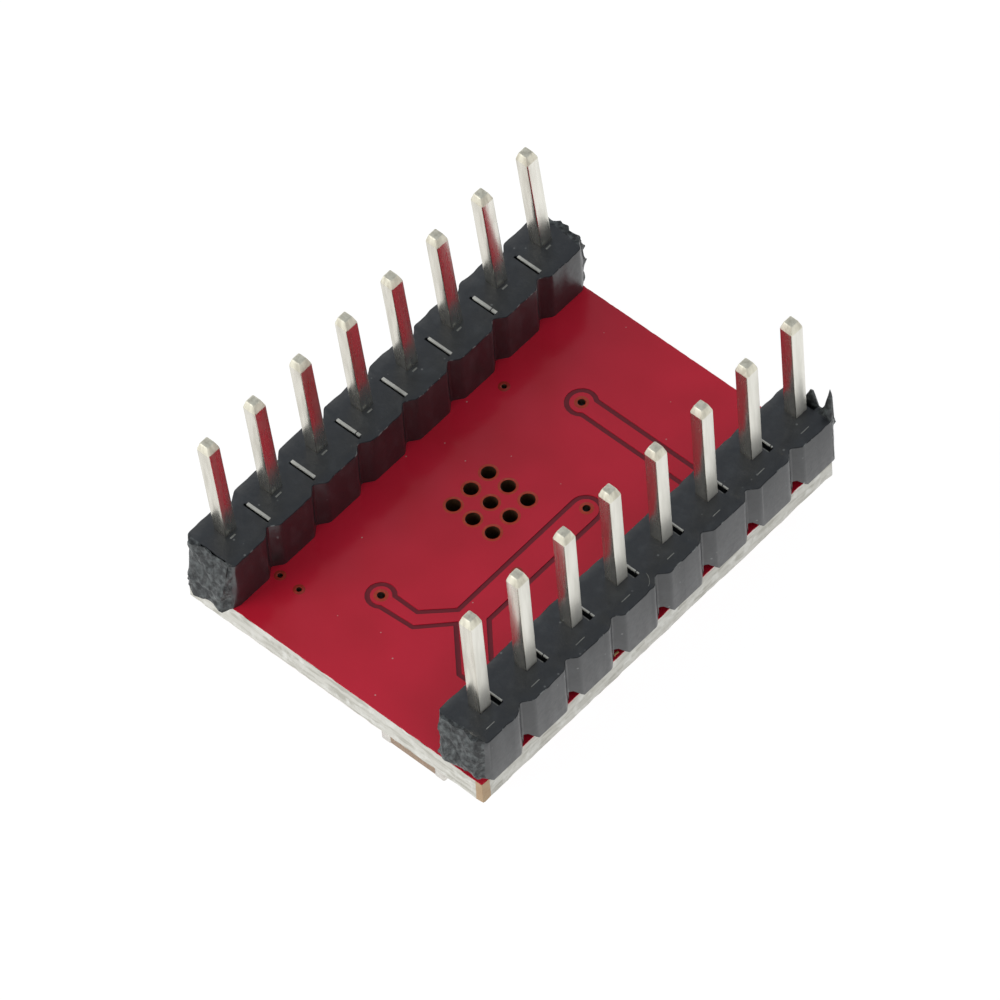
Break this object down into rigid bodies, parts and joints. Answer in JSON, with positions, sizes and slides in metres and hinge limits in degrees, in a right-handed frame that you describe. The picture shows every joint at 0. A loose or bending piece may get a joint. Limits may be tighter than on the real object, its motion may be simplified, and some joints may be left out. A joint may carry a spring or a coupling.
{
  "type": "stepper driver module",
  "caption": "Small plug-in stepper motor driver board with two rows of square header pins, a driver chip and a current trimmer.",
  "frame": {"origin": "centre of the 16-pin pattern, in the plane of the soldered tails' ends", "axes": "+Z towards the free tips of the pins; Y along the two pin rows; +X from row A to row B"},
  "size_m": [0.0152, 0.0208, 0.011],
  "materials": {
    "board_mask": "glossy red solder mask over copper on a fibreglass core",
    "strip_plastic": "moulded black polyester with a satin skin",
    "pin_tin": "drawn wire with bright tin plating",
    "solder": "reflowed tin solder, bright with a fine grain",
    "chip_package": "moulded epoxy, fine matt grain",
    "tinned_copper": "copper with a thin tin coat",
    "trimmer_base": "unglazed alumina",
    "carbon_track": "printed resistive film",
    "rotor_steel": "stamped, satin",
    "wiper_brass": "spring strip, bright",
    "capacitor_ceramic": "fired ceramic, satin",
    "resistor_ceramic": "dark overglaze on alumina"
  },
  "bodies": {
    "carrier": {"circuit_board": "board_mask", "pin_strip_a": "strip_plastic", "pin_strip_b": "strip_plastic", "pin_a1": "pin_tin", "pin_a2": "pin_tin", "pin_a3": "pin_tin", "pin_a4": "pin_tin", "pin_a5": "pin_tin", "pin_a6": "pin_tin", "pin_a7": "pin_tin", "pin_a8": "pin_tin", "pin_b1": "pin_tin", "pin_b2": "pin_tin", "pin_b3": "pin_tin", "pin_b4": "pin_tin", "pin_b5": "pin_tin", "pin_b6": "pin_tin", "pin_b7": "pin_tin", "pin_b8": "pin_tin", "solder_joint_a1": "solder", "solder_joint_a2": "solder", "solder_joint_a3": "solder", "solder_joint_a4": "solder", "solder_joint_a5": "solder", "solder_joint_a6": "solder", "solder_joint_a7": "solder", "solder_joint_a8": "solder", "solder_joint_b1": "solder", "solder_joint_b2": "solder", "solder_joint_b3": "solder", "solder_joint_b4": "solder", "solder_joint_b5": "solder", "solder_joint_b6": "solder", "solder_joint_b7": "solder", "solder_joint_b8": "solder", "driver_chip": "chip_package", "driver_chip_thermal_pad": "tinned_copper", "trimmer_base": "trimmer_base", "trimmer_track": "carbon_track", "trimmer_terminal_1": "pin_tin", "trimmer_terminal_2": "pin_tin", "trimmer_terminal_wiper": "pin_tin", "supply_capacitor": "capacitor_ceramic", "logic_capacitor": "capacitor_ceramic", "bypass_capacitor_1": "capacitor_ceramic", "bypass_capacitor_2": "capacitor_ceramic", "pump_capacitor": "capacitor_ceramic", "reservoir_capacitor": "capacitor_ceramic", "regulator_capacitor": "capacitor_ceramic", "sense_resistor_1": "resistor_ceramic", "sense_resistor_2": "resistor_ceramic", "timing_resistor": "resistor_ceramic", "reference_resistor": "resistor_ceramic", "pull_up_resistor": "resistor_ceramic", "pull_down_resistor_1": "resistor_ceramic", "pull_down_resistor_2": "resistor_ceramic", "pull_down_resistor_3": "resistor_ceramic"},
    "trimmer": {"trimmer_rotor": "rotor_steel", "trimmer_wiper": "wiper_brass"}
  },
  "joints": [
    {"name": "trimmer_turn", "type": "hinge", "parent": "carrier", "child": "trimmer", "pos_m": [0.0006, 0.0071, 0.001], "axis": [0, 0, 1], "range_deg": [-125, 125]}
  ]
}
